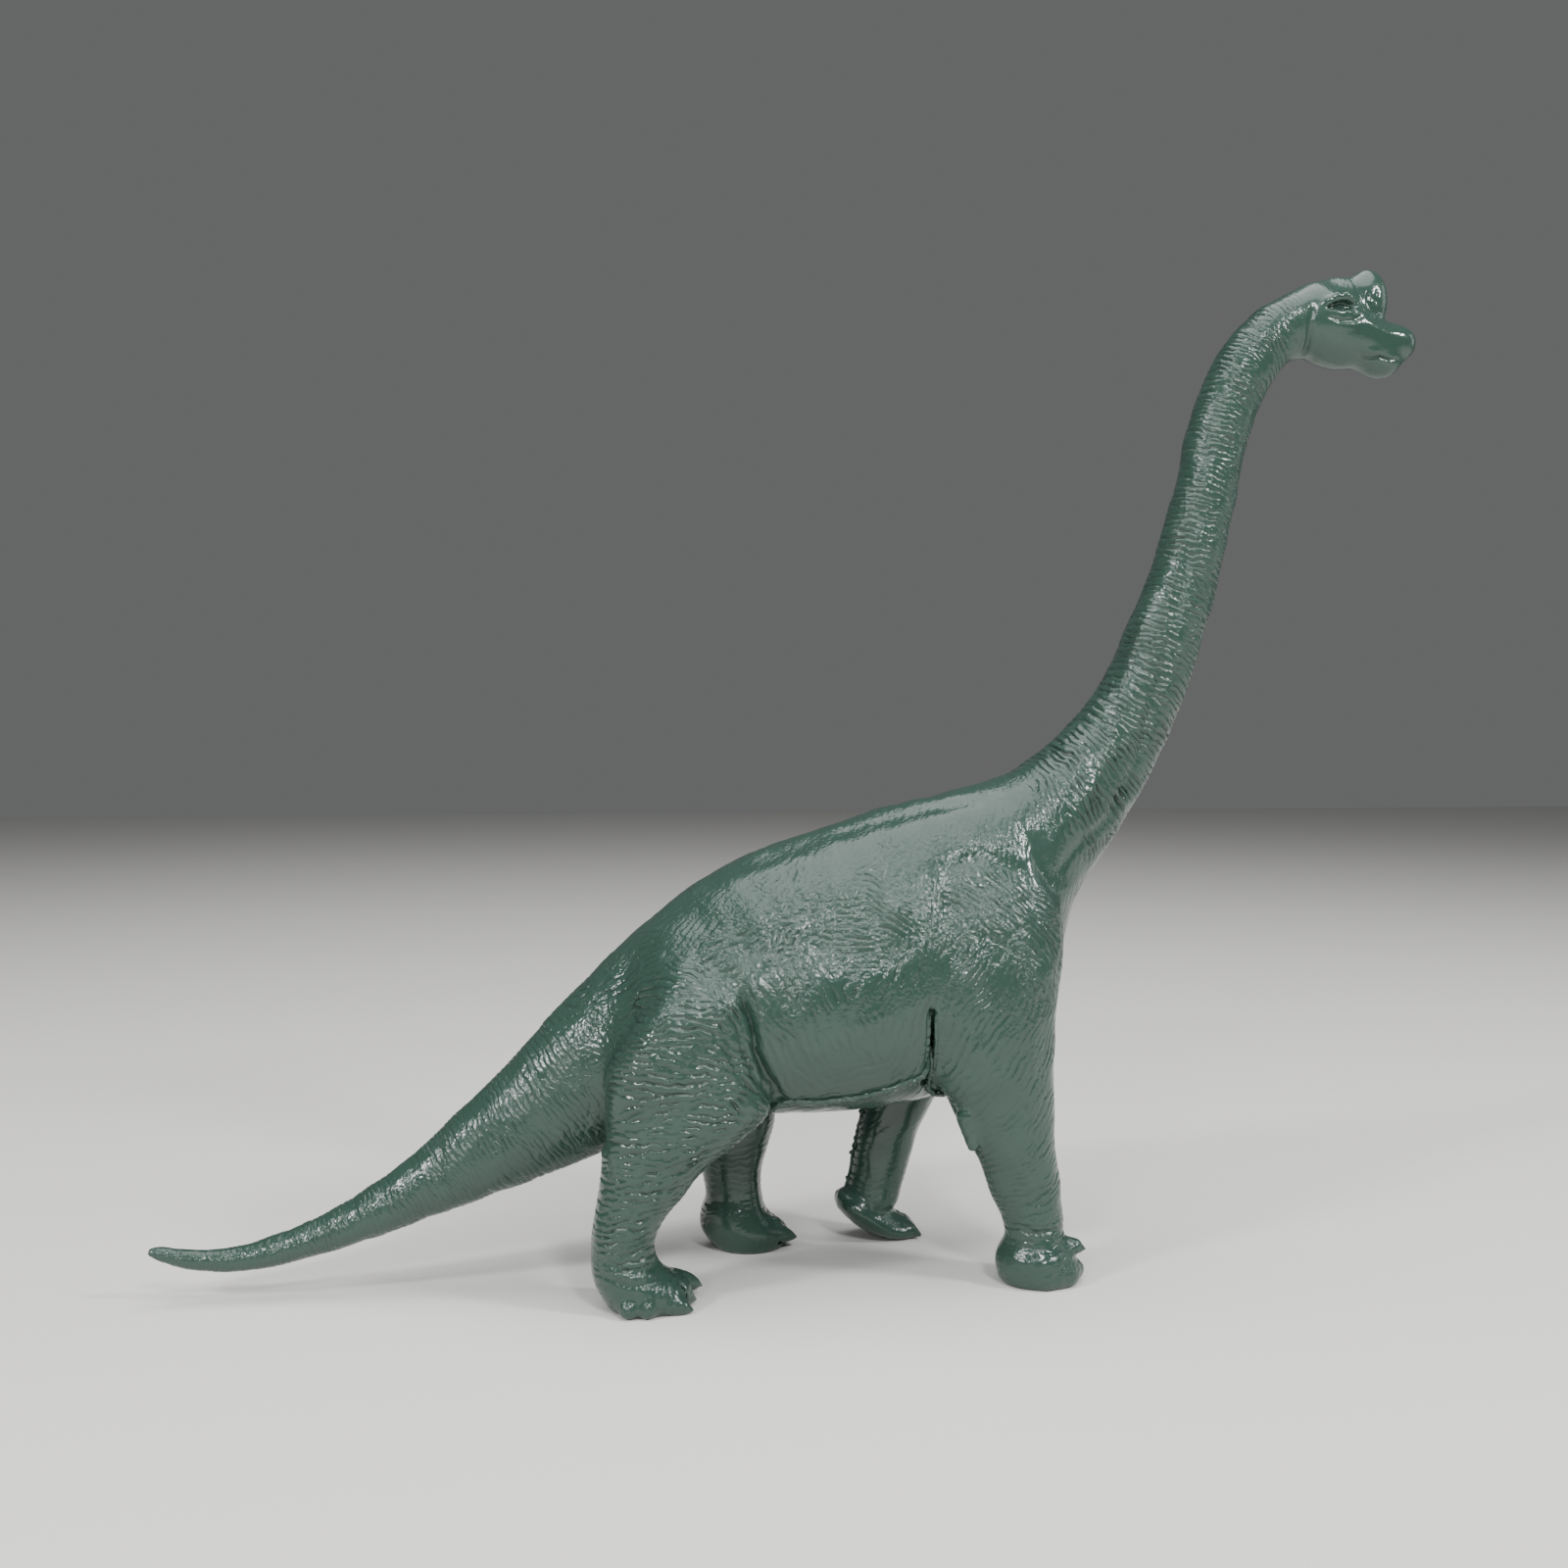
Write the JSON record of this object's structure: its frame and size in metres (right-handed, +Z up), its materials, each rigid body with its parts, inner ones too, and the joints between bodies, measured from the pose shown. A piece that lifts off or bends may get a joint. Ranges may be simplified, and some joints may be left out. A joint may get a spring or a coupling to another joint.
{
  "type": "toy dinosaur figure",
  "caption": "Free-standing moulded figure of a long-necked, plant-eating dinosaur: a hollow torso with pegged legs, tail, neck with head and a belly panel.",
  "frame": {"origin": "middle of the figure's plan, on the ground that its soles stand on", "axes": "+X out of the snout, +Y to the figure's left, +Z up"},
  "size_m": [0.3716, 0.078, 0.2981],
  "materials": {
    "green_pvc": "semi-gloss moulded soft PVC"
  },
  "bodies": {
    "root": {"torso_shell": "green_pvc", "belly_panel": "green_pvc", "neck_and_head": "green_pvc", "tail": "green_pvc", "right_hind_leg": "green_pvc", "left_hind_leg": "green_pvc", "right_foreleg": "green_pvc", "left_foreleg": "green_pvc"}
  },
  "joints": []
}
